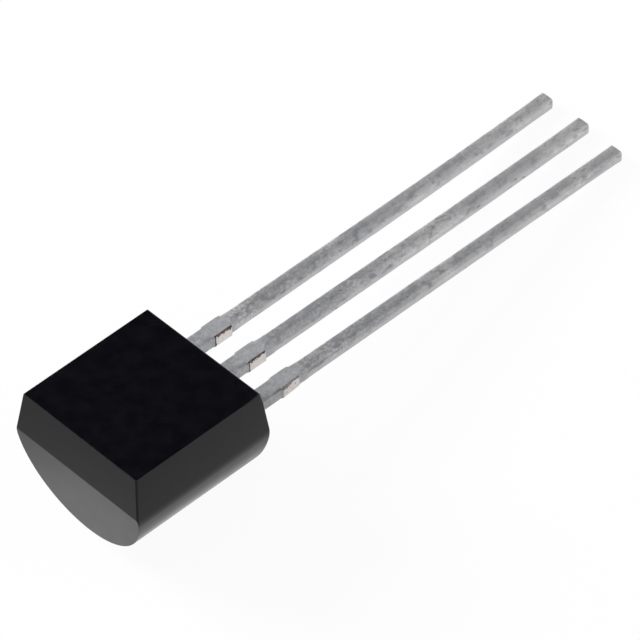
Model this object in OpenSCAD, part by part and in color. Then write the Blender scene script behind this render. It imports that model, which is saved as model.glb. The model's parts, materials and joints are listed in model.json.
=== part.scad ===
// Triac in a three-lead moulded package, lying on its rounded back and its lead tips.
//
// Each piece is drawn in the package's own axes, and resting() then lays it on the floor:
// X runs from the package's far end along the leads, Y across them, and Z out of the flat
// face, which is at Z = 0. The rounded back is below it.

/* [Moulded body] */
// Width across the leads, at the parting plane
body_w = 4.52; // [4.4:0.02:4.8]
// Height from the far end to the lead end, at the parting plane
body_h = 4.54; // [4.4:0.02:4.9]
// Depth from the flat face to the parting plane
front_depth = 1.24; // [1.2:0.02:1.4]
// Draft of the far end and the two sides in front of the parting plane, in degrees
front_draft = 7.8; // [2:0.2:10]
// Draft of the lead end in front of the parting plane, in degrees
lead_end_draft = 4.6; // [2:0.2:10]
// Draft of the two end faces behind the parting plane, in degrees
back_draft = 6.8; // [2:0.2:10]
// How much larger the radius of the rounded back is than half the width
back_r_extra = 0.04; // [0.02:0.01:0.1]
// How far the axis of the rounded back lies in front of the parting plane
back_axis_rise = 0.08; // [0:0.02:0.2]

/* [Leads] */
// Distance between the centre lines of neighbouring leads
pitch = 1.27; // [1.2:0.01:1.32]
// Thickness of the lead frame
frame_t = 0.36; // [0.32:0.01:0.5]
// Depth of the lead frame's front face behind the flat face
frame_depth = 1.17; // [1.1:0.01:1.3]
// Width of a lead along its free length
lead_w = 0.41; // [0.34:0.01:0.5]
// Length of the leads from the body to their tips
lead_len = 13.6; // [11:0.1:16]
// How much shorter the first lead is cut
first_lead_trim = 0.13; // [0:0.01:0.5]
// How far the tips of the two outer leads stand outside the pitch
tip_spread = 0.08; // [0:0.01:0.2]
// Width of a lead between the body and the tie bar's stubs
neck_w = 0.47; // [0.4:0.01:0.55]

/* [Tie bar stubs] */
// Distance from the body to the stubs that the cut tie bar leaves
stub_gap = 1.22; // [0.8:0.02:1.6]
// Length of a stub along the lead
stub_len = 0.56; // [0.4:0.02:0.8]
// How far a stub stands out past the neck on each side
stub_out = 0.03; // [0.01:0.01:0.1]
// Length of the slope from the neck up to a stub
stub_slope = 0.1; // [0.04:0.02:0.3]

/* [Lead frame inside the body] */
// Distance from the body's far end to the chip paddle
paddle_gap = 0.65; // [0.5:0.05:0.7]
// Length of the chip paddle along the leads
paddle_len = 1.7; // [1.5:0.05:1.75]
// Width of the chip paddle across the leads
paddle_w = 2.4; // [2:0.05:2.6]
// How far the paddle stands out past its own lead
paddle_out = 0.15; // [0:0.05:0.25]
// Space between the paddle and the two bonding posts
post_gap = 0.4; // [0.3:0.05:0.5]
// Length of a bonding post
post_len = 0.75; // [0.65:0.05:0.85]
// Width of a bonding post
post_w = 0.8; // [0.7:0.02:0.86]

/* [Chip] */
// Side of the square chip
chip_side = 1.1; // [1:0.02:1.3]
// Thickness of the chip
chip_t = 0.25; // [0.2:0.01:0.28]
// Thickness of the solder under the chip
solder_t = 0.04; // [0.02:0.01:0.08]
// How far the solder stands out past the chip's sides
solder_out = 0.05; // [0.02:0.01:0.08]

/* [Bond wires] */
// Diameter of the main terminal's bond wire
main_wire_d = 0.2; // [0.12:0.01:0.22]
// Diameter of the gate's bond wire
gate_wire_d = 0.1; // [0.06:0.01:0.14]
// Slope at which a bond wire leaves its two feet, in degrees
wire_slope = 36; // [34:1:40]
// Radius of a bond wire's bends, to its centre line
wire_bend_r = 0.22; // [0.2:0.01:0.26]
// Length of a bond wire's foot
foot_len = 0.24; // [0.2:0.02:0.3]
// Distance from the chip's edges to the middle of the gate foot
gate_pad_inset = 0.3; // [0.25:0.01:0.35]
// Distance from the chip's far and inner edges to the middle of the main foot
main_pad_inset = 0.4; // [0.35:0.01:0.45]

/* [Hidden] */
$fn = 96;
EPS = 0.01; // overshoot of a cut past the face that it opens

half_w = body_w / 2;
back_r = half_w + back_r_extra;
body_depth = front_depth - back_axis_rise + back_r;
front_inset = front_depth * tan(front_draft);
lead_end_inset = front_depth * tan(lead_end_draft);
back_inset = (body_depth - front_depth) * tan(back_draft);

frame_back = frame_depth + frame_t;
tip_x = body_h + lead_len;
stub_x = body_h + stub_gap;
run_x = stub_x + stub_len;

paddle_end = paddle_gap + paddle_len;
paddle_y = pitch + neck_w / 2 + paddle_out - paddle_w / 2;
post_x = paddle_end + post_gap;
post_pad_x = post_x + post_len / 2;

chip_x = paddle_gap + paddle_len / 2;
chip_top = -frame_depth + solder_t + chip_t;
gate_pad = [chip_x + chip_side / 2 - gate_pad_inset, paddle_y + chip_side / 2 - gate_pad_inset];
main_pad = [chip_x - chip_side / 2 + main_pad_inset, paddle_y - chip_side / 2 + main_pad_inset];

// The package leans on the lead end of its back until the longer leads' tips touch the floor.
heel = [body_h - back_inset, -body_depth];
tip = [tip_x, -frame_back];
lean = atan2(tip[1] - heel[1], tip[0] - heel[0]);
low_x = min(back_inset * cos(lean) - body_depth * sin(lean), -front_depth * sin(lean));
high_x = tip_x * cos(lean) - frame_depth * sin(lean);
floor_z = -heel[0] * sin(lean) + heel[1] * cos(lean);

// Lays what is drawn in the package's axes on the floor, centred over the origin.
module resting() {
    translate([-(low_x + high_x) / 2, 0, -floor_z])
        rotate([0, lean, 0])
            children();
}

// ---- Moulded body ----

// Half the width between the drafted sides, at a depth behind the flat face.
function drafted_half(depth) = half_w + (depth - front_depth) * tan(front_draft);

// A bar along X between two depths, with the drafted sides.
module drafted_bar(length, from, to) {
    rotate([90, 0, 90])
        linear_extrude(length)
            polygon([
                [-drafted_half(from), -from],
                [drafted_half(from), -from],
                [drafted_half(to), -to],
                [-drafted_half(to), -to]
            ]);
}

// The part behind the parting plane: its sides run on until they meet the round back.
module back_bar(length) {
    intersection() {
        drafted_bar(length, front_depth, body_depth + EPS);
        translate([0, 0, -front_depth + back_axis_rise])
            rotate([0, 90, 0])
                cylinder(h = length, r = back_r);
    }
}

// Side outline in X and Z: both ends are drafted from the parting plane, either way.
module body_side() {
    polygon([
        [front_inset, 0],
        [body_h - lead_end_inset, 0],
        [body_h, -front_depth],
        [body_h - back_inset, -body_depth],
        [back_inset, -body_depth],
        [0, -front_depth]
    ]);
}

module body_outer() {
    intersection() {
        translate([-EPS, 0, 0]) {
            drafted_bar(body_h + 2 * EPS, 0, front_depth);
            back_bar(body_h + 2 * EPS);
        }
        rotate([90, 0, 0])
            linear_extrude(2 * back_r, center = true)
                body_side();
    }
}

// The plastic is moulded around the frame, the chip and the wires, so it fits them exactly.
module moulded_body() {
    color([0.06, 0.055, 0.07])
        resting()
            difference() {
                body_outer();
                gate_frame();
                main_terminal_1_frame();
                main_terminal_2_frame();
                solder_block();
                chip_block();
                main_wire();
                gate_wire();
            }
}

// ---- Lead frame ----

// Outline of a lead from start_x to its tip: the neck, the stubs of the tie bar and the
// free length, whose tip stands lean_out to one side.
module lead_outline(start_x, trim, lean_out) {
    neck = neck_w / 2;
    stub = neck + stub_out;
    run = lead_w / 2;
    polygon([
        [start_x, -neck],
        [stub_x - stub_slope, -neck],
        [stub_x, -stub],
        [run_x, -stub],
        [run_x, -run],
        [tip_x - trim, lean_out - run],
        [tip_x - trim, lean_out + run],
        [run_x, run],
        [run_x, stub],
        [stub_x, stub],
        [stub_x - stub_slope, neck],
        [start_x, neck]
    ]);
}

// A flat piece of the lead frame, cut to the outline that it is given.
module frame_piece() {
    translate([0, 0, -frame_back])
        linear_extrude(frame_t)
            children();
}

module post_outline() {
    translate([post_x, -post_w / 2])
        square([post_len, post_w]);
}

module main_terminal_1_frame() {
    frame_piece()
        translate([0, -pitch]) {
            post_outline();
            lead_outline(post_pad_x, first_lead_trim, -tip_spread);
        }
}

module gate_frame() {
    frame_piece() {
        post_outline();
        lead_outline(post_pad_x, 0, 0);
    }
}

module main_terminal_2_frame() {
    frame_piece() {
        translate([paddle_gap, paddle_y - paddle_w / 2])
            square([paddle_len, paddle_w]);
        translate([0, pitch])
            lead_outline(chip_x, 0, tip_spread);
    }
}

module main_terminal_1_lead() {
    color([0.68, 0.68, 0.69])
        resting()
            main_terminal_1_frame();
}

module gate_lead() {
    color([0.68, 0.68, 0.69])
        resting()
            gate_frame();
}

module main_terminal_2_lead() {
    color([0.68, 0.68, 0.69])
        resting()
            main_terminal_2_frame();
}

// ---- Chip ----

// A square block on the paddle, with its lower face at the height z.
module block_on_paddle(side, z, t) {
    translate([chip_x - side / 2, paddle_y - side / 2, z])
        cube([side, side, t]);
}

module solder_block() {
    block_on_paddle(chip_side + 2 * solder_out, -frame_depth, solder_t);
}

module chip_block() {
    block_on_paddle(chip_side, -frame_depth + solder_t, chip_t);
}

module chip_solder() {
    color([0.55, 0.55, 0.56])
        resting()
            solder_block();
}

module triac_chip() {
    color([0.25, 0.27, 0.33])
        resting()
            chip_block();
}

// ---- Bond wires ----

// A wire along +X that turns up or down in the X-Z plane. Each move is a straight length
// and the turn that follows it, in degrees, up being positive.
module wire_path(moves, d, k = 0) {
    run = moves[k][0];
    turn = moves[k][1];
    rotate([0, 90, 0])
        cylinder(h = run, d = d);
    if (k + 1 < len(moves))
        translate([run, 0, 0]) {
            rotate([turn < 0 ? 180 : 0, 0, 0])
                translate([0, 0, wire_bend_r])
                    rotate([90, 0, 0])
                        rotate([0, 0, -90])
                            rotate_extrude(angle = abs(turn))
                                translate([wire_bend_r, 0])
                                    circle(d = d);
            translate([wire_bend_r * sin(abs(turn)), 0, sign(turn) * wire_bend_r * (1 - cos(turn))])
                rotate([0, -turn, 0])
                    wire_path(moves, d, k + 1);
        }
}

// A wire in an arch from a foot on the chip to a foot on the lead frame's front face. It is
// pressed down at its feet, so its lowest part there is the flat that the two faces leave.
module bond_wire(pad, post, d) {
    span = norm(post - pad);
    reach = (span - foot_len - 4 * wire_bend_r * sin(wire_slope)) / cos(wire_slope);
    drop = (solder_t + chip_t) / sin(wire_slope);
    press = 0.4 * d;
    translate([pad[0], pad[1], chip_top + press])
        rotate([0, 0, atan2(post[1] - pad[1], post[0] - pad[0])])
            translate([-foot_len / 2, 0, 0])
                wire_path([
                    [foot_len, wire_slope],
                    [(reach - drop) / 2, -2 * wire_slope],
                    [(reach + drop) / 2, wire_slope],
                    [foot_len, 0]
                ], d);
}

module main_wire() {
    difference() {
        bond_wire(main_pad, [post_pad_x, -pitch], main_wire_d);
        chip_block();
        main_terminal_1_frame();
    }
}

module gate_wire() {
    difference() {
        bond_wire(gate_pad, [post_pad_x, 0], gate_wire_d);
        chip_block();
        gate_frame();
    }
}

module main_bond_wire() {
    color([0.85, 0.85, 0.86])
        resting()
            main_wire();
}

module gate_bond_wire() {
    color([0.85, 0.85, 0.86])
        resting()
            gate_wire();
}

moulded_body();
main_terminal_1_lead();
gate_lead();
main_terminal_2_lead();
chip_solder();
triac_chip();
main_bond_wire();
gate_bond_wire();
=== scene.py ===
"""A triac in a three-lead moulded package, lying on its rounded back and its lead tips.

Lengths are in millimetres in the package's own axes, and PLACE takes them to the frame, in
metres: X runs from the package's far end along the leads, Y across them, and Z out of the
flat face, which is at Z = 0. The studio's lengths are in metres, in the frame.
"""

import json
import math
from collections import namedtuple

import bpy
from mathutils import Matrix, Vector, noise

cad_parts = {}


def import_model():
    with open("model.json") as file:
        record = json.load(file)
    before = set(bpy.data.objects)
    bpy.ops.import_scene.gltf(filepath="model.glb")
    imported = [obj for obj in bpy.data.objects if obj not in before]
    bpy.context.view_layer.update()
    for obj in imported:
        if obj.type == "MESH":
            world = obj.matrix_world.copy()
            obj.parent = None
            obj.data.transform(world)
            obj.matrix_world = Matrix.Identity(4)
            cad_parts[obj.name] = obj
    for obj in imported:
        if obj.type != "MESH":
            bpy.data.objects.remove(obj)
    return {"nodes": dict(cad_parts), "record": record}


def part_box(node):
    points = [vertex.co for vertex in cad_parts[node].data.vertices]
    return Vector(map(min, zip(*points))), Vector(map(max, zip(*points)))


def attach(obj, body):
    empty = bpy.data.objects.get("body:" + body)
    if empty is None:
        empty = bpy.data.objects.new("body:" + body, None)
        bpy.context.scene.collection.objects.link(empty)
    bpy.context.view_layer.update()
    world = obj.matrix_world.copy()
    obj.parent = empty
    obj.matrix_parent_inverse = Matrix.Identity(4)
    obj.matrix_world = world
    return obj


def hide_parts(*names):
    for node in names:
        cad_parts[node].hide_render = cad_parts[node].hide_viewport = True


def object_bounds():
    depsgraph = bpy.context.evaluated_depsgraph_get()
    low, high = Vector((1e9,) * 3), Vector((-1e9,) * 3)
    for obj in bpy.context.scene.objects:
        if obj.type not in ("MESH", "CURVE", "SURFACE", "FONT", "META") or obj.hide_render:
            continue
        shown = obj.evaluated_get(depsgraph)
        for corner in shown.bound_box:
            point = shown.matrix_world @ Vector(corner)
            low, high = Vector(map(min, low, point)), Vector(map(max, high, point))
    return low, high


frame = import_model()
CAD_LOW, CAD_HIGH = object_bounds()

MM = 0.001
LEADS = ("main_terminal_1_lead", "gate_lead", "main_terminal_2_lead")


def package_matrix():
    """From the package's own axes to the frame: the flat's mount gives its place and lean."""
    flat = next(m for m in frame["record"]["mounts"] if m["name"] == "front_flat")
    out = Vector(flat["axis"]).normalized()
    along = Vector((out.z, 0, -out.x))
    turn = Matrix((along, (0, 1, 0), out)).transposed().to_4x4()
    middle = Matrix.Translation(flat["pos_m"]) @ turn @ Matrix.Scale(MM, 4)
    back = middle.inverted()
    far_end = min((back @ v.co).x for v in frame["nodes"]["moulded_body"].data.vertices)
    return middle @ Matrix.Translation((far_end, 0, 0))


PLACE = package_matrix()


def own_box(name):
    """Lowest and highest corners of a CAD node in the package's own axes."""
    back = PLACE.inverted()
    points = [back @ v.co for v in frame["nodes"][name].data.vertices]
    low = Vector([min(p[i] for p in points) for i in range(3)])
    high = Vector([max(p[i] for p in points) for i in range(3)])
    return low, high


BODY_LOW, BODY_HIGH = own_box("moulded_body")
GATE_LOW, GATE_HIGH = own_box("gate_lead")
PADDLE_LOW, PADDLE_HIGH = own_box("main_terminal_2_lead")

# Moulded body
HALF_W = 2.276
BODY_H = BODY_HIGH.x
PARTING_DEPTH = 1.24
FRONT_DRAFT = math.radians(7.8)
LEAD_END_DRAFT = math.radians(4.6)
BACK_DRAFT = math.radians(6.8)
BACK_R = 2.3
BACK_AXIS_RISE = PARTING_DEPTH + BACK_R + BODY_LOW.z
LOWEST_GAP = math.radians(0.4)  # angle of the round back left flat on each side of its bottom
ARC_STEPS = 48
SIDE_STEPS = 8
RIM_STEPS = 5
CORNER_STEPS = 6
FRONT_STEP = 0.15       # depth between two rings of the front
RIM_R = 0.025           # rounding of the flat's rim
LEAD_RIM_R = 0.08       # rounding of the flat's rim at the lead end
NEAR_CORNER_R = 0.048   # rounding of the far end's upright corner next to the first lead's side
FAR_CORNER_R = 0.02     # rounding of the far end's other upright corner
LEAD_CORNER_R = 0.03    # rounding of the two upright corners at the lead end
WORN_CORNER_R = 0.11    # rounding of the worn one of them, at the flat
WORN_DEPTH = 0.22       # depth over which that wear dies away
WORN_LEN = 0.7          # length of the flat's rim over which it dies away
WORN_STEPS = 5
LEAST_CORNER_R = 0.004  # least that the rim's rounding leaves of an upright corner's
BACK_EDGE_R = 0.01      # rounding of the corners under the parting line
BACK_EDGE_DEPTH = 0.22  # depth over which they come to it
PARTING_R = 0.012       # depth to each side over which the parting line's crease is rounded

# Leads
PITCH = 1.27
TIP_SPREAD = 0.08
FRAME_BACK = GATE_LOW.z
FRAME_FRONT = GATE_HIGH.z
TIP_X = GATE_HIGH.x
FIRST_TRIM = TIP_X - own_box("main_terminal_1_lead")[1].x
POST_X = GATE_LOW.x
POST_LEN = 0.75
POST_HALF = GATE_HIGH.y
PADDLE_X = PADDLE_LOW.x
PADDLE_LEN = 1.7
NECK_HALF = 0.241
RUN_HALF = 0.205
STUB_X = BODY_H + 1.16
STUB_LEN = 0.62
STUB_SLOPE = 0.05
STUB_HALF = 0.265
RUN_X = STUB_X + STUB_LEN
STEP = 0.02         # length over which a width changes at once
SOFT_END = 0.16     # length over which the stub away from the shear's side sinks into the lead
NECK_R = 0.032      # rounding of the stamped edges
RUN_R = 0.035       # rounding of the dipped length's edges
NECK_ROLL = 0.09    # rounding of the front edge on the low side, on the neck
CUT_ROLL = 0.04     # the same, on the cut stub
RUN_ROLLS = (0.09, 0.18, 0.19)    # the same, on each lead's dipped length
TIP_ROLL = 0.035    # the same, at the tip
TIP_R = 0.02        # rounding of the cut tips
TIP_STEPS = 4
CUT_R = 0.012       # rounding of the edges that the shear left
CREASE = 0.02       # width and depth of the crease where the cut begins
CUT_ENDS = (0.225, 0.26, 0.26)    # how far each cut stands from its lead's middle, at its end
RUN_CROWN = 0.06    # share by which a dipped face sinks towards its edges, near the stubs
TIP_CROWN = 0.08    # the same, at the tips
CROWN_START = 0.4   # distance from the stubs to where the crown is whole
CROWN_END = 0.6     # distance from the tip to where it ceases to grow
RING_STEP = 0.04    # length of a lead between two rings
BOWS = (0.0, 0.032, 0.042)        # how far each lead bows from its straight line
BOW_SKEW = 1.4      # above 1, a bow is widest past its middle

# The dipped tin's thickness over the plain lead
COATS = (-0.004, 0.002, 0.002)    # each lead's, at the tip
COAT_THICK = 0.012  # what it gains near the stubs
COAT_LEN = 9.0      # length over which it does
LUMP = 0.004        # height of its lumps
LUMPS_PER_MM = (1.6, 3, 3)
FINE_LUMPS_PER_MM = (6, 7, 7)
FINE_LUMPS_START = (9, 4, 7)      # keeps the fine lumps from lining up with the coarse ones
FINE_LUMP_SHARE = 0.5
COAT_START = 0.3    # length over which it begins, past the stubs
COAT_END = 0.2      # length over which it ends at the tip

# The way the camera looks
AZIMUTH = 54.174
ELEVATION = 50.817

# Places of a lead's two materials
TIN = 0
CUT_COPPER = 1

# Points on a lead's section: on each corner, and between two corners
CORNER_POINTS = 6
WIDE_POINTS = 7
THICK_POINTS = 6


# ---- Nodes ----

def add(tree, kind, settings=None, values=(), **inputs):
    """A new node. An input is a number, a colour, or another node's output.

    values gives the inputs in their order, or by their numbers where it is a dictionary.
    """
    made = tree.nodes.new(kind)
    for key, value in (settings or {}).items():
        setattr(made, key, value)
    numbered = values.items() if isinstance(values, dict) else enumerate(values)
    named = [(k.replace("_", " "), v) for k, v in inputs.items()]
    for key, value in list(numbered) + named:
        socket = made.inputs[key]
        if isinstance(value, bpy.types.NodeSocket):
            tree.links.new(value, socket)
        else:
            socket.default_value = value
    return made


def calc(tree, operation, *values):
    return add(tree, "ShaderNodeMath", {"operation": operation}, values).outputs[0]


def product(tree, value, *factors):
    for factor in factors:
        value = calc(tree, "MULTIPLY", value, factor)
    return value


def vector_calc(tree, operation, *values):
    """The outputs of a vector operation: a vector, and then a number."""
    return add(tree, "ShaderNodeVectorMath", {"operation": operation}, values).outputs


def split(tree, vector):
    return add(tree, "ShaderNodeSeparateXYZ", None, (vector,)).outputs


def remap(tree, value, low, high, to_low, to_high):
    """Goes smoothly from to_low to to_high as the value goes from low to high."""
    made = add(tree, "ShaderNodeMapRange", {"interpolation_type": "SMOOTHSTEP"},
               (value, low, high, to_low, to_high))
    return made.outputs[0]


def blend(tree, factor, first, second):
    """first where the factor is 0, and second where it is 1."""
    return add(tree, "ShaderNodeMix", None, {0: factor, 2: first, 3: second}).outputs[0]


def blend_colour(tree, factor, first, second):
    made = add(tree, "ShaderNodeMix", {"data_type": "RGBA"}, {0: factor, 6: first, 7: second})
    return made.outputs[2]


def package_coordinates(tree):
    """The point being shaded, in the package's own axes and millimetres."""
    back = PLACE.inverted()
    where = add(tree, "ShaderNodeTexCoord").outputs["Object"]
    made = add(tree, "ShaderNodeMapping", {"vector_type": "POINT"}, Vector=where,
               Location=back.to_translation(), Rotation=back.to_euler(),
               Scale=back.to_scale())
    return made.outputs[0]


def stretched(tree, point, x, y, z):
    """A point for noise that is x, y and z times as fine along the axes."""
    return vector_calc(tree, "MULTIPLY", point, (x, y, z))[0]


def grain(tree, point, scale, detail=3.0, roughness=0.55):
    """Noise from 0 to 1, mostly near 0.5, with scale patches to a millimetre."""
    made = add(tree, "ShaderNodeTexNoise", None, Vector=point, Scale=scale, Detail=detail,
               Roughness=roughness)
    return made.outputs[0]


def patches(tree, point, scale, low=0.35, high=0.65, most=1.0, detail=3.0, roughness=0.55):
    """Soft patches: 0 where the noise is under low, and most where it is over high."""
    return remap(tree, grain(tree, point, scale, detail, roughness), low, high, 0.0, most)


def bump(tree, height, microns, **under):
    """A bump of the given depth. under may name the normal that it lies on."""
    made = add(tree, "ShaderNodeBump", None, Strength=1.0, Distance=microns * 1e-6,
               Height=height, **under)
    return made.outputs[0]


def material(name, metallic=0.0):
    """A new material, its tree and its surface shader."""
    made = bpy.data.materials.new(name)
    made.use_nodes = True
    shader = made.node_tree.nodes["Principled BSDF"]
    shader.inputs["Metallic"].default_value = metallic
    return made, made.node_tree, shader


def join(tree, shader, **sockets):
    for key, value in sockets.items():
        tree.links.new(value, shader.inputs[key.replace("_", " ")])


# ---- Materials ----

def epoxy_material():
    """Black moulding compound, with the fine grain of the mould and a few pale filler grains."""
    made, tree, shader = material("moulded_epoxy")
    shader.inputs["IOR"].default_value = 1.50
    point = package_coordinates(tree)
    shade = patches(tree, point, 1.1)
    base = blend_colour(tree, shade, (0.0012, 0.0011, 0.0026, 1), (0.0015, 0.0013, 0.0031, 1))
    filler = patches(tree, point, 19.0, 0.70, 0.78, most=0.5, detail=1.0)
    base = blend_colour(tree, filler, base, (0.016, 0.016, 0.018, 1))
    rough = remap(tree, grain(tree, point, 2.3), 0.3, 0.7, 0.22, 0.27)
    join(tree, shader, Base_Color=base, Roughness=rough,
         Normal=bump(tree, grain(tree, point, 26.0, 4.0), 0.9))
    return made


def plated_colour(tree, point, speckle):
    """The smooth plate: stained near the body, with a dark line along its stamped side."""
    along, across, height = split(tree, point)
    mottle = patches(tree, point, 5.0)
    colour = blend_colour(tree, mottle, (0.53, 0.545, 0.555, 1), (0.59, 0.60, 0.645, 1))
    colour = blend_colour(tree, product(tree, speckle, 0.35), colour, (0.44, 0.44, 0.44, 1))
    near_body = remap(tree, along, BODY_H - 0.1, STUB_X + 0.3, 0.9, 0.25)
    stain = product(tree, near_body, patches(tree, point, 7.0))
    colour = blend_colour(tree, stain, colour, (0.34, 0.335, 0.325, 1))
    off_line = calc(tree, "ABSOLUTE", calc(tree, "SUBTRACT", FRAME_FRONT - 0.03, height))
    line = product(tree, remap(tree, off_line, 0.008, 0.03, 1.0, 0.0),
                   remap(tree, across, -PITCH, 0.0, 0.8, 0.25),
                   remap(tree, along, STUB_X - 0.6, STUB_X, 0.3, 1.0),
                   remap(tree, along, STUB_X, STUB_X + 0.2, 1.0, 0.0))
    return blend_colour(tree, line, colour, (0.14, 0.13, 0.13, 1))


def dipped_colour(tree, point, clouds, speckle):
    """The dipped coat: dark and coarse near the stubs, lighter at the tip, with a painted shade
    along its rolled edges and a painted light that makes its sides even and lighter.
    """
    along, _, height = split(tree, point)
    colour = blend_colour(tree, clouds, (0.32, 0.328, 0.365, 1), (0.765, 0.762, 0.77, 1))
    coarse = product(tree, speckle, remap(tree, along, RUN_X + 2, RUN_X + 5, 0.7, 0.3))
    colour = blend_colour(tree, coarse, colour, (0.38, 0.38, 0.39, 1))
    blotches = patches(tree, stretched(tree, point, 0.6, 1.0, 1.0), 6.0, 0.5, 0.72, most=0.5,
                       detail=2.0)
    colour = blend_colour(tree, blotches, colour, (0.34, 0.34, 0.35, 1))
    tone = patches(tree, stretched(tree, point, 0.7, 0.5, 0.5), 1.0, 0.4, 0.6, most=0.45,
                   detail=2.0)
    colour = blend_colour(tree, tone, colour, (0.37, 0.377, 0.395, 1))
    bright_end = remap(tree, along, RUN_X + 3, TIP_X, 0.0, 0.25)
    colour = blend_colour(tree, bright_end, colour, (0.80, 0.795, 0.80, 1))

    depth = calc(tree, "SUBTRACT", FRAME_FRONT, height)
    # Painted shade: a darker band where the top rolls over into the edges.
    painted_edge_shade = product(tree, remap(tree, depth, 0.01, 0.05, 0.0, 0.3),
                          remap(tree, depth, 0.08, 0.14, 1.0, 0.0))
    colour = blend_colour(tree, painted_edge_shade, colour, (0.34, 0.34, 0.345, 1))
    # Painted light: the sides lighter and even, standing in for the light they take from the
    # floor.
    side = remap(tree, depth, 0.12, 0.22, 0.0, 0.9)
    colour = blend_colour(tree, side, colour, (0.60, 0.597, 0.605, 1))
    pits = patches(tree, stretched(tree, point, 1.0, 1.6, 1.6), 6.5, 0.66, 0.74, most=0.6,
                   detail=2.0)
    return blend_colour(tree, pits, colour, (0.16, 0.16, 0.17, 1))


def tin_material():
    """Tin on the lead frame: smooth plate up to the stubs, and a mottled dipped coat past them."""
    made, tree, shader = material("tinned_lead", metallic=1.0)
    point = package_coordinates(tree)
    along = split(tree, point)[0]
    ragged = calc(tree, "SUBTRACT", along, product(tree, grain(tree, point, 3.0), 0.5))
    dipped = remap(tree, ragged, RUN_X - 0.25, RUN_X + 0.15, 0.0, 1.0)

    scratches = grain(tree, stretched(tree, point, 2.0, 26.0, 26.0), 1.0, 4.0)
    speckle = patches(tree, point, 14.0, 0.40, 0.60, detail=2.0, roughness=0.6)
    clouds = patches(tree, stretched(tree, point, 1.0, 1.6, 1.6), 2.6, 0.35, 0.51, detail=4.0,
                     roughness=0.6)
    plate = plated_colour(tree, point, speckle)
    coat = dipped_colour(tree, point, clouds, speckle)
    rough_plate = remap(tree, scratches, 0.3, 0.7, 0.56, 0.64)
    rough_coat = remap(tree, clouds, 0.0, 1.0, 0.60, 0.52)

    ripples = product(tree, dipped, grain(tree, point, 11.0, 4.0))
    join(tree, shader, Base_Color=blend_colour(tree, dipped, plate, coat),
         Roughness=blend(tree, dipped, rough_plate, rough_coat),
         Normal=bump(tree, ripples, 4.0, Normal=bump(tree, scratches, 0.6)))
    return made


def cut_copper_material():
    """Bare copper where the tie bar was sheared off, dark along its top where the tin was torn
    from it and with painted shade there, and with a painted shade line in the crease where the cut
    begins.

    The nearest lead's cut was torn the least.
    """
    made, tree, shader = material("cut_copper", metallic=1.0)
    point = package_coordinates(tree)
    along, across, height = split(tree, point)
    lines = grain(tree, stretched(tree, point, 40.0, 40.0, 4.0), 1.0, 3.0)
    blotch = patches(tree, point, 6.0, 0.38, 0.62)
    clean = blend_colour(tree, blotch, (0.80, 0.735, 0.715, 1), (0.80, 0.795, 0.77, 1))
    speck = patches(tree, point, 15.0, 0.66, 0.72, most=0.8, detail=1.0)
    clean = blend_colour(tree, speck, clean, (0.12, 0.10, 0.09, 1))

    ragged = product(tree, grain(tree, point, 9.0, 3.0), 0.3)
    under_top = calc(tree, "ADD", calc(tree, "SUBTRACT", FRAME_FRONT, height), ragged)
    # Dark along the top of the cut: partly copper bared where the tin was torn, partly painted
    # shade under the edge.
    torn_and_shaded_top = product(tree, remap(tree, under_top, 0.2, 0.23, 1.0, 0.0),
                       remap(tree, across, -PITCH, 0.0, 0.75, 1.0))
    # Painted shade: a dark line in the crease where the cut begins.
    from_crease = calc(tree, "MULTIPLY_ADD", ragged, 0.4, calc(tree, "SUBTRACT", along, STUB_X))
    crease = product(tree, remap(tree, from_crease, 0.098, 0.112, 1.0, 0.0),
                     remap(tree, across, -PITCH, 0.0, 0.3, 1.0))
    dark = blend_colour(tree, blotch, (0.11, 0.08, 0.08, 1), (0.27, 0.20, 0.19, 1))
    base = blend_colour(tree, torn_and_shaded_top, clean, dark)
    join(tree, shader, Base_Color=blend_colour(tree, crease, base, (0.05, 0.055, 0.05, 1)),
         Roughness=remap(tree, lines, 0.3, 0.7, 0.46, 0.60), Normal=bump(tree, lines, 1.0))
    return made


def solder_material():
    made, tree, shader = material("solder", metallic=1.0)
    point = package_coordinates(tree)
    cloud = patches(tree, point, 12.0, 0.3, 0.7)
    base = blend_colour(tree, cloud, (0.42, 0.42, 0.43, 1), (0.56, 0.56, 0.57, 1))
    join(tree, shader, Base_Color=base, Roughness=remap(tree, cloud, 0.0, 1.0, 0.45, 0.3),
         Normal=bump(tree, grain(tree, point, 30.0), 1.0))
    return made


def silicon_material():
    made, tree, shader = material("silicon", metallic=0.7)
    point = package_coordinates(tree)
    cloud = patches(tree, point, 5.0, 0.3, 0.7)
    base = blend_colour(tree, cloud, (0.05, 0.06, 0.09, 1), (0.08, 0.09, 0.13, 1))
    join(tree, shader, Base_Color=base, Roughness=remap(tree, cloud, 0.0, 1.0, 0.22, 0.3),
         Normal=bump(tree, grain(tree, point, 60.0), 0.2))
    return made


def wire_material():
    made, tree, shader = material("bond_wire", metallic=1.0)
    point = package_coordinates(tree)
    drawn = grain(tree, stretched(tree, point, 8.0, 8.0, 30.0), 1.0, 3.0)
    cloud = remap(tree, drawn, 0.3, 0.7, 0.0, 1.0)
    base = blend_colour(tree, cloud, (0.80, 0.80, 0.81, 1), (0.90, 0.90, 0.91, 1))
    join(tree, shader, Base_Color=base, Roughness=remap(tree, cloud, 0.0, 1.0, 0.35, 0.25),
         Normal=bump(tree, drawn, 0.3))
    return made


# ---- Moulded body ----

def end_inset(z, front_draft):
    """How far an end of the body stands in from the parting plane's, at the height z."""
    if z > -PARTING_DEPTH:
        return (z + PARTING_DEPTH) * math.tan(front_draft)
    return (-PARTING_DEPTH - z) * math.tan(BACK_DRAFT)


def rim_inset(z, draft, radius):
    """How far the flat's rounded rim stands in from a drafted side that runs up to Z = 0."""
    end = radius * (math.sin(draft) - 1)
    if z <= end:
        return 0.0
    return (radius * math.cos(draft) + (end - z) * math.tan(draft)
            - math.sqrt(radius ** 2 - (z + radius) ** 2))


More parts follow.
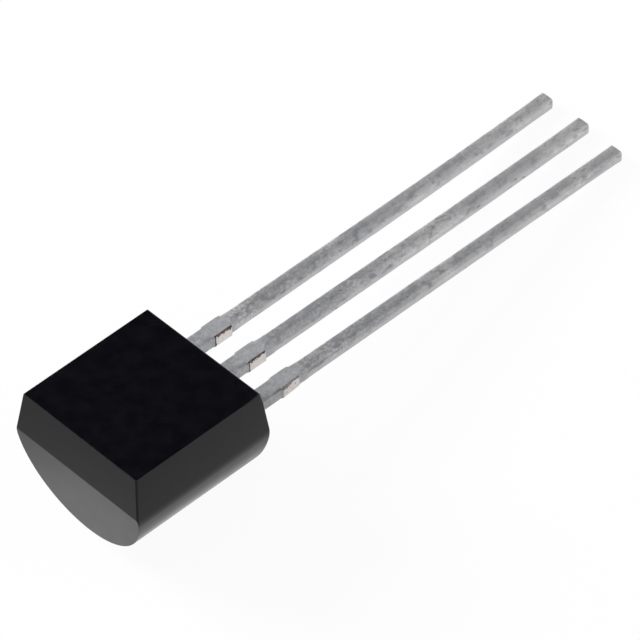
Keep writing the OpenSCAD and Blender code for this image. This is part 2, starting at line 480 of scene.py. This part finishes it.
def front_levels():
    """(z, half width) from the flat down to just above the parting line, with sharp rims."""
    depths = [FRONT_STEP * k for k in range(1, int(PARTING_DEPTH / FRONT_STEP) + 1)]
    depths.append(PARTING_DEPTH - PARTING_R)
    for radius in (RIM_R, LEAD_RIM_R):
        turns = [math.pi / 2 * k / RIM_STEPS for k in range(RIM_STEPS + 1)]
        depths += [radius * (1 - math.sin(turn)) for turn in turns]
    draft = math.tan(FRONT_DRAFT)
    return [(-depth, HALF_W - (PARTING_DEPTH - depth) * draft) for depth in sorted(set(depths))]


def back_levels():
    """(z, half width) from just under the parting line to the bottom of the round back.

    A small arc takes each side from its draft into the round back with no crease.
    """
    middle = BACK_AXIS_RISE - PARTING_DEPTH
    reach = HALF_W * math.cos(FRONT_DRAFT) - BACK_AXIS_RISE * math.sin(FRONT_DRAFT)
    small = (BACK_R ** 2 - HALF_W ** 2 - BACK_AXIS_RISE ** 2) / (2 * (BACK_R - reach))
    centre_y = HALF_W - small * math.cos(FRONT_DRAFT)
    centre_z = -PARTING_DEPTH - small * math.sin(FRONT_DRAFT)
    first = math.asin((-PARTING_DEPTH - PARTING_R - centre_z) / small)
    meet = math.atan2(centre_z - middle, centre_y)
    levels = []
    for k in range(SIDE_STEPS):
        angle = first + (meet - first) * k / SIDE_STEPS
        levels.append((centre_z + small * math.sin(angle), centre_y + small * math.cos(angle)))
    lowest = LOWEST_GAP - math.pi / 2
    for k in range(ARC_STEPS + 1):
        angle = meet + (lowest - meet) * k / ARC_STEPS
        levels.append((middle + BACK_R * math.sin(angle), BACK_R * math.cos(angle)))
    return levels


def corner_radius(z, lead_end, near_side):
    """Rounding of an upright corner of the body, at the height z."""
    if lead_end:
        radius = LEAD_CORNER_R
    else:
        radius = NEAR_CORNER_R if near_side else FAR_CORNER_R
    if lead_end and near_side:
        radius += (WORN_CORNER_R - LEAD_CORNER_R) * max(0.0, 1 + z / WORN_DEPTH)
    under = min(1.0, max(0.0, (-PARTING_DEPTH - z) / BACK_EDGE_DEPTH))
    return radius + (BACK_EDGE_R - radius) * under


def worn_rim(z, half, high):
    """Points along the side that the wear reaches, up to the worn corner."""
    points = []
    for k in range(WORN_STEPS):
        share = k / WORN_STEPS
        radius = RIM_R + (LEAD_RIM_R - RIM_R) * share ** 2
        points.append((high - WORN_LEN * (1 - share), rim_inset(z, FRONT_DRAFT, radius) - half, z))
    return points


def body_ring(z, half):
    """Points round the body at the height z, its four corners rounded."""
    side = rim_inset(z, FRONT_DRAFT, RIM_R)
    worn = rim_inset(z, FRONT_DRAFT, LEAD_RIM_R)
    lead = rim_inset(z, LEAD_END_DRAFT, LEAD_RIM_R)
    low = end_inset(z, FRONT_DRAFT) + side
    high = BODY_H - end_inset(z, LEAD_END_DRAFT) - lead
    corners = (
        (180, low, side - half, side, side),
        (270, high, worn - half, lead, worn),
        (0, high, half - side, lead, side),
        (90, low, half - side, side, side),
    )
    points = []
    for first, x, y, inset_x, inset_y in corners:
        if x == high and y < 0:
            points += worn_rim(z, half, high)
        radius = corner_radius(z, x == high, y < 0)
        radius_x = max(LEAST_CORNER_R, radius - inset_x)
        radius_y = max(LEAST_CORNER_R, radius - inset_y)
        centre_x = x + radius_x if x == low else x - radius_x
        centre_y = y + radius_y if y < 0 else y - radius_y
        for step in range(CORNER_STEPS + 1):
            angle = math.radians(first + 90 * step / CORNER_STEPS)
            points.append((centre_x + radius_x * math.cos(angle),
                           centre_y + radius_y * math.sin(angle), z))
    return points


def skin(name, rings):
    """Mesh of a closed skin: faces from each ring to the next, then one across each end."""
    count = len(rings[0])
    faces = []
    for r in range(len(rings) - 1):
        here, following = r * count, (r + 1) * count
        for i in range(count):
            j = (i + 1) % count
            faces.append((here + j, here + i, following + i, following + j))
    last = (len(rings) - 1) * count
    faces.append(tuple(range(count)))
    faces.append(tuple(reversed(range(last, last + count))))
    data = bpy.data.meshes.new(name)
    data.from_pydata([point for ring in rings for point in ring], [], faces)
    data.shade_smooth()
    return data


def new_piece(name, data, *materials):
    piece = bpy.data.objects.new(name, data)
    bpy.context.scene.collection.objects.link(piece)
    for finish in materials:
        data.materials.append(finish)
    return piece


def apply_modifiers(piece):
    """Puts the modifiers' result into the piece's own mesh."""
    graph = bpy.context.evaluated_depsgraph_get()
    made = bpy.data.meshes.new_from_object(piece.evaluated_get(graph))
    old = piece.data
    piece.modifiers.clear()
    piece.data = made
    bpy.data.meshes.remove(old)


def moulded_body(epoxy):
    """The body, as one skin of rings from the flat down to the bottom of the round back."""
    rings = [body_ring(z, half) for z, half in front_levels() + back_levels()]
    piece = new_piece("body_shell", skin("body_shell", rings), epoxy)
    normals = piece.modifiers.new("normals", "WEIGHTED_NORMAL")
    normals.weight = 100
    normals.thresh = 0.0
    apply_modifiers(piece)
    piece.data.transform(PLACE)
    return piece


# ---- Leads ----

# One lead. y is where it stands in the body, lean_out is how far its tip spreads from there,
# and inner lists (x, low side, high side) of its plate in the body. The rest are its own
# values from the top of this script.
Lead = namedtuple("Lead", "name node y lean_out bow roll cut_end coat tip_x inner")


def rounded_section(low, high, under, top, radius, roll):
    """Points round a rectangle as (y, z, outward y, outward z), from its low and under corner.

    The edge at low and top has the rounding roll, and the others have radius.
    """
    corners = []
    for y, z, first, r in ((low, under, 180, radius), (high, under, 270, radius),
                           (high, top, 0, radius), (low, top, 90, roll)):
        centre_y = y + r if y == low else y - r
        centre_z = z + r if z == under else z - r
        corners.append([])
        for step in range(CORNER_POINTS):
            angle = math.radians(first + 90 * step / (CORNER_POINTS - 1))
            out = (math.cos(angle), math.sin(angle))
            corners[-1].append((centre_y + r * out[0], centre_z + r * out[1], *out))
    points = []
    for k in range(4):
        last, target = corners[k][-1], corners[(k + 1) % 4][0]
        between = WIDE_POINTS if k % 2 == 0 else THICK_POINTS
        points += corners[k]
        for step in range(1, between + 1):
            share = step / (between + 1)
            points.append((last[0] + (target[0] - last[0]) * share,
                           last[1] + (target[1] - last[1]) * share, last[2], last[3]))
    return points


def section_parts():
    """What each stretch of a lead's section belongs to, in the order of its points."""
    parts = []
    for side, between in (("under", WIDE_POINTS), ("high", THICK_POINTS),
                          ("top", WIDE_POINTS), ("low", THICK_POINTS)):
        parts += ["corner"] * (CORNER_POINTS - 1) + [side] * (between + 1)
    return parts


def outside_stations(lead):
    """(x, low side, high side, edge radius, roll, crown) along a lead outside the body."""
    cut = STUB_HALF - CREASE / 4
    crease = STUB_HALF - CREASE
    cut_len = STUB_LEN - STEP - CREASE
    soft = lead.cut_end + (cut - lead.cut_end) * (SOFT_END - STEP) / cut_len
    stations = [
        (STUB_X - STUB_SLOPE, -NECK_HALF, NECK_HALF, NECK_R, NECK_ROLL, 0),
        (STUB_X, -STUB_HALF, STUB_HALF, CUT_R, CUT_ROLL, 0),
        (STUB_X + CREASE / 2, -crease, crease, CUT_R, CUT_ROLL, 0),
        (STUB_X + CREASE, -cut, cut, CUT_R, CUT_ROLL, 0),
        (RUN_X - SOFT_END, -soft, cut, CUT_R, CUT_ROLL, 0),
        (RUN_X - STEP, -lead.cut_end, RUN_HALF + 2 * STEP, CUT_R, CUT_ROLL, 0),
        (RUN_X, -RUN_HALF - STEP / 2, RUN_HALF + STEP, RUN_R, CUT_ROLL, 0),
        (RUN_X + STEP, -RUN_HALF, RUN_HALF + STEP, RUN_R, CUT_ROLL, 0),
        (RUN_X + SOFT_END, -RUN_HALF, RUN_HALF, RUN_R, lead.roll, 0),
        (RUN_X + CROWN_START, -RUN_HALF, RUN_HALF, RUN_R, lead.roll, RUN_CROWN),
        (lead.tip_x - CROWN_END, -RUN_HALF, RUN_HALF, RUN_R, lead.roll, TIP_CROWN),
    ]
    for k in range(TIP_STEPS + 1):
        angle = math.pi / 2 * k / TIP_STEPS
        x = lead.tip_x - TIP_R * (1 - math.sin(angle))
        half = RUN_HALF - TIP_R * (1 - math.cos(angle))
        stations.append((x, -half, half, TIP_R, TIP_ROLL, TIP_CROWN))
    return stations


def along_stations(stations):
    """Rings through the stations, none further apart than RING_STEP."""
    rings = [stations[0]]
    for before, after in zip(stations, stations[1:]):
        steps = max(1, math.ceil((after[0] - before[0]) / RING_STEP))
        for k in range(1, steps + 1):
            rings.append(tuple(a + (b - a) * k / steps for a, b in zip(before, after)))
    return rings


def crowned(value, low, high, other, other_low, other_high, crown):
    """Draws a point's coordinate in to the section's middle, more so towards the edges."""
    middle = (low + high) / 2
    share = (other - (other_low + other_high) / 2) / ((other_high - other_low) / 2)
    return middle + (value - middle) * (1 - crown * share ** 2)


def noise_at(point, per_mm, start=(0, 0, 0)):
    return noise.noise(Vector([p * n for p, n in zip(point, per_mm)]) + Vector(start))


def lumps(point, x, lead):
    """How far the dipped tin stands proud of the plain lead, or in from it."""
    fade = min(1, max(0, (x - RUN_X) / COAT_START), max(0, (lead.tip_x - x) / COAT_END))
    coarse = noise_at(point, LUMPS_PER_MM)
    fine = noise_at(point, FINE_LUMPS_PER_MM, FINE_LUMPS_START)
    coat = lead.coat + COAT_THICK * max(0, 1 - (x - RUN_X) / COAT_LEN)
    return fade * (coat + LUMP * (coarse + FINE_LUMP_SHARE * fine))


def sideways(x, lead):
    """How far a lead's middle stands to the side of its place in the body, at x."""
    share = max(0, (x - RUN_X) / (lead.tip_x - RUN_X))
    return lead.lean_out * share - lead.bow * math.sin(math.pi * min(share, 1) ** BOW_SKEW)


def lead_ring(ring, lead):
    """Points round a lead at one of its rings, in the frame."""
    x, low, high, radius, roll, crown = ring
    shift = lead.y + sideways(x, lead)
    inset = max(0.0, RUN_HALF - high) if x > RUN_X + SOFT_END else 0.0
    under, top = FRAME_BACK + inset, FRAME_FRONT - inset
    points = []
    for y, z, out_y, out_z in rounded_section(low, high, under, top, radius, roll):
        height = lumps((x, y + shift, z), x, lead)
        ring_y = crowned(y, low, high, z, under, top, crown) + out_y * height
        ring_z = crowned(z, under, top, y, low, high, crown) + out_z * height
        points.append(PLACE @ Vector((x, ring_y + shift, ring_z)))
    return points


def finish_of(x, part):
    """Place of the material of a stretch of skin. The stubs' sheared sides are bare copper."""
    sheared = STUB_X < x < RUN_X - STEP and part not in ("top", "under")
    return CUT_COPPER if sheared else TIN


def lead_piece(lead, materials):
    """A lead: its inner plate, neck, stubs, dipped length and tip, as one skin of rings."""
    plate = [(x, low, high, NECK_R, NECK_ROLL, 0) for x, low, high in lead.inner]
    rings = along_stations(plate + outside_stations(lead))
    data = skin(lead.name, [lead_ring(ring, lead) for ring in rings])
    finishes = []
    for before, after in zip(rings, rings[1:]):
        middle = (before[0] + after[0]) / 2
        finishes += [finish_of(middle, part) for part in section_parts()]
    data.polygons.foreach_set("material_index", finishes + [TIN, TIN])
    piece = new_piece(lead.name, data, *materials)
    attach(piece, "root")
    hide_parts(lead.node)
    return piece


def post(half):
    """The bonding post in the body, and the neck that leaves it."""
    end = POST_X + POST_LEN
    return [(POST_X, -half, half), (end, -half, half), (end + STEP, -NECK_HALF, NECK_HALF)]


def paddle():
    """The chip paddle in the body, which reaches across from its own lead."""
    low, high = PADDLE_LOW.y - PITCH, PADDLE_HIGH.y - PITCH
    end = PADDLE_X + PADDLE_LEN
    return [(PADDLE_X, low, high), (end, low, high), (end + STEP, -NECK_HALF, NECK_HALF)]


# ---- Studio ----

def floor_in_mirror(tree, far_white=0.15, near=0.0034, fade=0.0027, under_white=1.3,
                    under_near=0.0015, under_far=0.003):
    """How bright the floor is in a mirror ray, 1 being white.

    It dims with the distance from the object, beyond near, and it is brighter within
    under_far of the point under the body's middle.
    """
    body_middle = (sum(corner.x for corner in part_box("moulded_body")) / 2, 0, 0)
    where = add(tree, "ShaderNodeTexCoord").outputs["Object"]
    past_middle = vector_calc(tree, "MAXIMUM", where, body_middle)[0]
    nearest = vector_calc(tree, "MINIMUM", past_middle, (CAD_HIGH[0], 0, 0))[0]
    away = vector_calc(tree, "DISTANCE", where, nearest)[1]
    beyond = calc(tree, "MAXIMUM", calc(tree, "SUBTRACT", away, near), 0.0)
    fading = calc(tree, "ADD", calc(tree, "DIVIDE", beyond, fade), 1.0)
    share = calc(tree, "ADD", calc(tree, "DIVIDE", 1.0 - far_white, fading), far_white)
    from_body = vector_calc(tree, "DISTANCE", where, body_middle)[1]
    return product(tree, share, remap(tree, from_body, under_near, under_far, under_white, 1.0))


def floor_material(paper_white=0.9, seen_white=0.94, mirrored_white=0.76):
    """White paper. A camera ray sees it mostly as plain white, less the object's shadow."""
    made = bpy.data.materials.new("floor_white")
    made.use_nodes = True
    tree = made.node_tree
    tree.nodes.clear()
    path = add(tree, "ShaderNodeLightPath").outputs
    mirrored = calc(tree, "MAXIMUM", path["Is Glossy Ray"], path["Is Transmission Ray"])
    white = calc(tree, "MAXIMUM", product(tree, path["Is Camera Ray"], seen_white),
                 product(tree, mirrored, mirrored_white))
    change = calc(tree, "SUBTRACT", floor_in_mirror(tree), 1.0)
    dimmed = calc(tree, "MULTIPLY_ADD", change, mirrored, 1.0)
    paper_colour = blend_colour(tree, dimmed, (0, 0, 0, 1), (*[paper_white] * 3, 1))
    paper = add(tree, "ShaderNodeBsdfDiffuse", None, Color=paper_colour).outputs[0]
    glow = add(tree, "ShaderNodeEmission", None, Strength=dimmed).outputs[0]
    mixed = add(tree, "ShaderNodeMixShader", None, (white, paper, glow)).outputs[0]
    add(tree, "ShaderNodeOutputMaterial", None, Surface=mixed)
    return made


def floor(half=0.4):
    data = bpy.data.meshes.new("floor")
    corners = [(-half, -half, 0), (half, -half, 0), (half, half, 0), (-half, half, 0)]
    data.from_pydata(corners, [], [(0, 1, 2, 3)])
    plane = new_piece("floor", data, floor_material())


def looking(azimuth, elevation):
    """The way a camera looks that looks down by elevation, in degrees."""
    a, e = math.radians(azimuth), math.radians(elevation)
    return Vector((math.cos(e) * math.cos(a), math.cos(e) * math.sin(a), -math.sin(e)))


def world(sky=0.5, low_sky=0.15, high_sky=0.5, sky_tilt=0.3, flag=0.02, flag_radius=14,
          flag_edge=30):
    """White to the camera. On the object, white near the horizon and a greyer sky above it.

    The white ends at the height low_sky on a unit sphere, and the sky begins at high_sky.
    sky_tilt brings both down towards +Y. A black flag hangs in the part of the sky that the
    flat face mirrors to the camera. It is whole up to flag_radius from its middle and ends at
    flag_edge, in degrees.
    """
    made = bpy.data.worlds.new("studio")
    bpy.context.scene.world = made
    made.use_nodes = True
    tree = made.node_tree
    tree.nodes.clear()
    way = add(tree, "ShaderNodeTexCoord").outputs["Generated"]
    _, across, up = split(tree, way)
    height = calc(tree, "MULTIPLY_ADD", across, sky_tilt, up)
    white = remap(tree, height, low_sky, high_sky, 1.0, sky)
    flat_normal = (PLACE.to_3x3() @ Vector((0, 0, 1))).normalized()
    flag_way = looking(AZIMUTH, ELEVATION).reflect(flat_normal)
    towards = vector_calc(tree, "DOT_PRODUCT", way, flag_way)[1]
    flagged = remap(tree, towards, math.cos(math.radians(flag_edge)),
                    math.cos(math.radians(flag_radius)), 1.0, flag)
    seen = add(tree, "ShaderNodeLightPath").outputs["Is Camera Ray"]
    strength = calc(tree, "MAXIMUM", seen, product(tree, white, flagged))
    back = add(tree, "ShaderNodeBackground", None, Color=(1, 1, 1, 1), Strength=strength)
    add(tree, "ShaderNodeOutputWorld", None, Surface=back.outputs[0])


def soft_box(name, azimuth, elevation, level, distance=0.3, size=0.12):
    """A square lamp that looks at the origin. level is the light it gives there, 1 being plain."""
    data = bpy.data.lights.new(name, "AREA")
    data.size = size
    data.energy = level * math.pi ** 2 * distance ** 2
    lamp = bpy.data.objects.new(name, data)
    bpy.context.scene.collection.objects.link(lamp)
    out = -looking(azimuth + 180, elevation)
    lamp.location = out * distance
    lamp.rotation_mode = "QUATERNION"
    lamp.rotation_quaternion = out.to_track_quat("Z", "Y")


def camera(roll=10.557, distance=0.156489, aim=(-0.00015, 0.000724, 0), lens=337.5):
    """Looks at aim from behind the far end's near corner."""
    data = bpy.data.cameras.new("camera")
    data.lens = lens
    data.sensor_width = 36
    data.clip_start, data.clip_end = 0.01, 2
    eye = bpy.data.objects.new("camera", data)
    bpy.context.scene.collection.objects.link(eye)
    bpy.context.scene.camera = eye
    forward = looking(AZIMUTH, ELEVATION)
    level_right = forward.cross(Vector((0, 0, 1))).normalized()
    level_up = level_right.cross(forward)
    r = math.radians(roll)
    up = math.cos(r) * level_up + math.sin(r) * level_right
    right = forward.cross(up)
    turn = Matrix((right, up, -forward)).transposed().to_4x4()
    eye.matrix_world = Matrix.Translation(Vector(aim) - forward * distance) @ turn


# ---- The whole ----

def repaint(name, finish):
    """Gives a CAD node that stays its material."""
    data = frame["nodes"][name].data
    data.materials.clear()
    data.materials.append(finish)


def build():
    body = moulded_body(epoxy_material())
    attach(body, "root")
    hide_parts("moulded_body")

    finishes = (tin_material(), cut_copper_material())
    tips = (TIP_X - FIRST_TRIM, TIP_X, TIP_X)
    inners = (post(POST_HALF), post(POST_HALF), paddle())
    for k, node in enumerate(LEADS):
        side = k - 1
        lead_piece(Lead(name=f"lead_{k + 1}", node=node, y=side * PITCH,
                        lean_out=side * TIP_SPREAD, bow=BOWS[k], roll=RUN_ROLLS[k],
                        cut_end=CUT_ENDS[k], coat=COATS[k], tip_x=tips[k], inner=inners[k]),
                   finishes)

    repaint("chip_solder", solder_material())
    repaint("triac_chip", silicon_material())
    wire = wire_material()
    repaint("main_bond_wire", wire)
    repaint("gate_bond_wire", wire)


def studio():
    floor()
    world()
    soft_box("key", azimuth=108, elevation=31, level=1.05)
    soft_box("back_light", azimuth=72, elevation=18, level=0.08)
    camera()
    bpy.context.scene.view_settings.view_transform = "Standard"


build()
studio()
